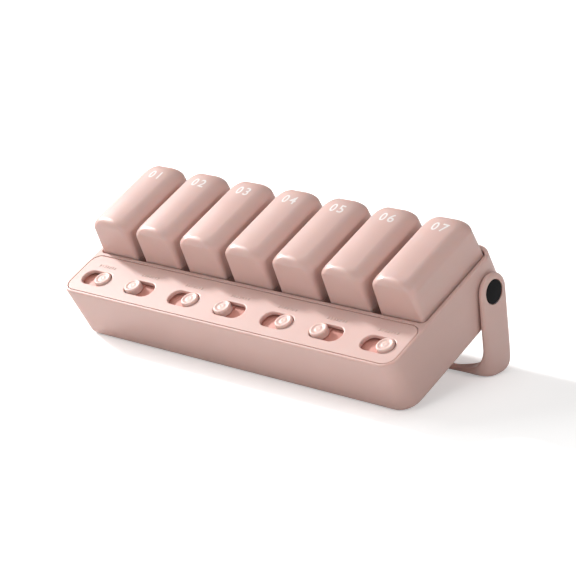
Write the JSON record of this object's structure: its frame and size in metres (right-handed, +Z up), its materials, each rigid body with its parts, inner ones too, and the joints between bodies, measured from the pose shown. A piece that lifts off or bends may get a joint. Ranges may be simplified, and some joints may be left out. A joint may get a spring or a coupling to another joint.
{
  "type": "weekly pill organizer",
  "caption": "Long sloping tray on a folding stand, with lidded pill pods that lift out and a sliding marker in front of each pod.",
  "frame": {"origin": "centre of the footprint, on the ground the organizer stands on", "axes": "+X along the tray to the viewer's right, +Y from the sliders back to the stand, +Z up"},
  "size_m": [0.1878, 0.0742, 0.0639],
  "materials": {
    "shell_pink": "satin moulded pink",
    "lid_pink": "satin moulded pink",
    "knob_pink": "satin moulded pink",
    "track_pink": "matt moulded deep pink",
    "cap_black": "matt black",
    "steel": "plain"
  },
  "bodies": {
    "tray": {"tray_body": "shell_pink", "slider_panel": "shell_pink", "slider_track": "track_pink", "track_screw_1": "steel", "track_screw_2": "steel", "track_screw_3": "steel", "track_screw_4": "steel", "pivot_bush_left": "shell_pink", "pivot_bush_right": "shell_pink", "pivot_cap_left": "cap_black", "pivot_cap_right": "cap_black"},
    "stand": {"stand_bail": "shell_pink"},
    "knob_1": {"slider_knob_1": "knob_pink"},
    "pod_1": {"pod_cup_1": "shell_pink", "lid_pin_1": "steel"},
    "lid_1": {"pod_lid_1": "lid_pink"},
    "knob_2": {"slider_knob_2": "knob_pink"},
    "pod_2": {"pod_cup_2": "shell_pink", "lid_pin_2": "steel"},
    "lid_2": {"pod_lid_2": "lid_pink"},
    "knob_3": {"slider_knob_3": "knob_pink"},
    "pod_3": {"pod_cup_3": "shell_pink", "lid_pin_3": "steel"},
    "lid_3": {"pod_lid_3": "lid_pink"},
    "knob_4": {"slider_knob_4": "knob_pink"},
    "pod_4": {"pod_cup_4": "shell_pink", "lid_pin_4": "steel"},
    "lid_4": {"pod_lid_4": "lid_pink"},
    "knob_5": {"slider_knob_5": "knob_pink"},
    "pod_5": {"pod_cup_5": "shell_pink", "lid_pin_5": "steel"},
    "lid_5": {"pod_lid_5": "lid_pink"},
    "knob_6": {"slider_knob_6": "knob_pink"},
    "pod_6": {"pod_cup_6": "shell_pink", "lid_pin_6": "steel"},
    "lid_6": {"pod_lid_6": "lid_pink"},
    "knob_7": {"slider_knob_7": "knob_pink"},
    "pod_7": {"pod_cup_7": "shell_pink", "lid_pin_7": "steel"},
    "lid_7": {"pod_lid_7": "lid_pink"}
  },
  "joints": [
    {"name": "stand_fold", "type": "hinge", "parent": "tray", "child": "stand", "pos_m": [0, 0.02287, 0.03475], "axis": [1, 0, 0], "range_deg": [-28, 0]},
    {"name": "knob_1_slide", "type": "slide", "parent": "tray", "child": "knob_1", "axis": [1, 0, 0], "range_m": [-0.0076, 0]},
    {"name": "pod_1_lift", "type": "slide", "parent": "tray", "child": "pod_1", "axis": [0, -0.4019, 0.9157], "range_m": [0, 0.03]},
    {"name": "lid_1_hinge", "type": "hinge", "parent": "pod_1", "child": "lid_1", "pos_m": [-0.078, 0.02579, 0.05198], "axis": [-1, 0, 0], "range_deg": [0, 105]},
    {"name": "knob_2_slide", "type": "slide", "parent": "tray", "child": "knob_2", "axis": [1, 0, 0], "range_m": [0, 0.0076]},
    {"name": "pod_2_lift", "type": "slide", "parent": "tray", "child": "pod_2", "axis": [0, -0.4019, 0.9157], "range_m": [0, 0.03]},
    {"name": "lid_2_hinge", "type": "hinge", "parent": "pod_2", "child": "lid_2", "pos_m": [-0.052, 0.02579, 0.05198], "axis": [-1, 0, 0], "range_deg": [0, 105]},
    {"name": "knob_3_slide", "type": "slide", "parent": "tray", "child": "knob_3", "axis": [1, 0, 0], "range_m": [-0.0076, 0]},
    {"name": "pod_3_lift", "type": "slide", "parent": "tray", "child": "pod_3", "axis": [0, -0.4019, 0.9157], "range_m": [0, 0.03]},
    {"name": "lid_3_hinge", "type": "hinge", "parent": "pod_3", "child": "lid_3", "pos_m": [-0.026, 0.02579, 0.05198], "axis": [-1, 0, 0], "range_deg": [0, 105]},
    {"name": "knob_4_slide", "type": "slide", "parent": "tray", "child": "knob_4", "axis": [1, 0, 0], "range_m": [0, 0.0076]},
    {"name": "pod_4_lift", "type": "slide", "parent": "tray", "child": "pod_4", "axis": [0, -0.4019, 0.9157], "range_m": [0, 0.03]},
    {"name": "lid_4_hinge", "type": "hinge", "parent": "pod_4", "child": "lid_4", "pos_m": [0, 0.02579, 0.05198], "axis": [-1, 0, 0], "range_deg": [0, 105]},
    {"name": "knob_5_slide", "type": "slide", "parent": "tray", "child": "knob_5", "axis": [1, 0, 0], "range_m": [-0.0076, 0]},
    {"name": "pod_5_lift", "type": "slide", "parent": "tray", "child": "pod_5", "axis": [0, -0.4019, 0.9157], "range_m": [0, 0.03]},
    {"name": "lid_5_hinge", "type": "hinge", "parent": "pod_5", "child": "lid_5", "pos_m": [0.026, 0.02579, 0.05198], "axis": [-1, 0, 0], "range_deg": [0, 105]},
    {"name": "knob_6_slide", "type": "slide", "parent": "tray", "child": "knob_6", "axis": [1, 0, 0], "range_m": [0, 0.0076]},
    {"name": "pod_6_lift", "type": "slide", "parent": "tray", "child": "pod_6", "axis": [0, -0.4019, 0.9157], "range_m": [0, 0.03]},
    {"name": "lid_6_hinge", "type": "hinge", "parent": "pod_6", "child": "lid_6", "pos_m": [0.052, 0.02579, 0.05198], "axis": [-1, 0, 0], "range_deg": [0, 105]},
    {"name": "knob_7_slide", "type": "slide", "parent": "tray", "child": "knob_7", "axis": [1, 0, 0], "range_m": [-0.0076, 0]},
    {"name": "pod_7_lift", "type": "slide", "parent": "tray", "child": "pod_7", "axis": [0, -0.4019, 0.9157], "range_m": [0, 0.03]},
    {"name": "lid_7_hinge", "type": "hinge", "parent": "pod_7", "child": "lid_7", "pos_m": [0.078, 0.02579, 0.05198], "axis": [-1, 0, 0], "range_deg": [0, 105]}
  ]
}
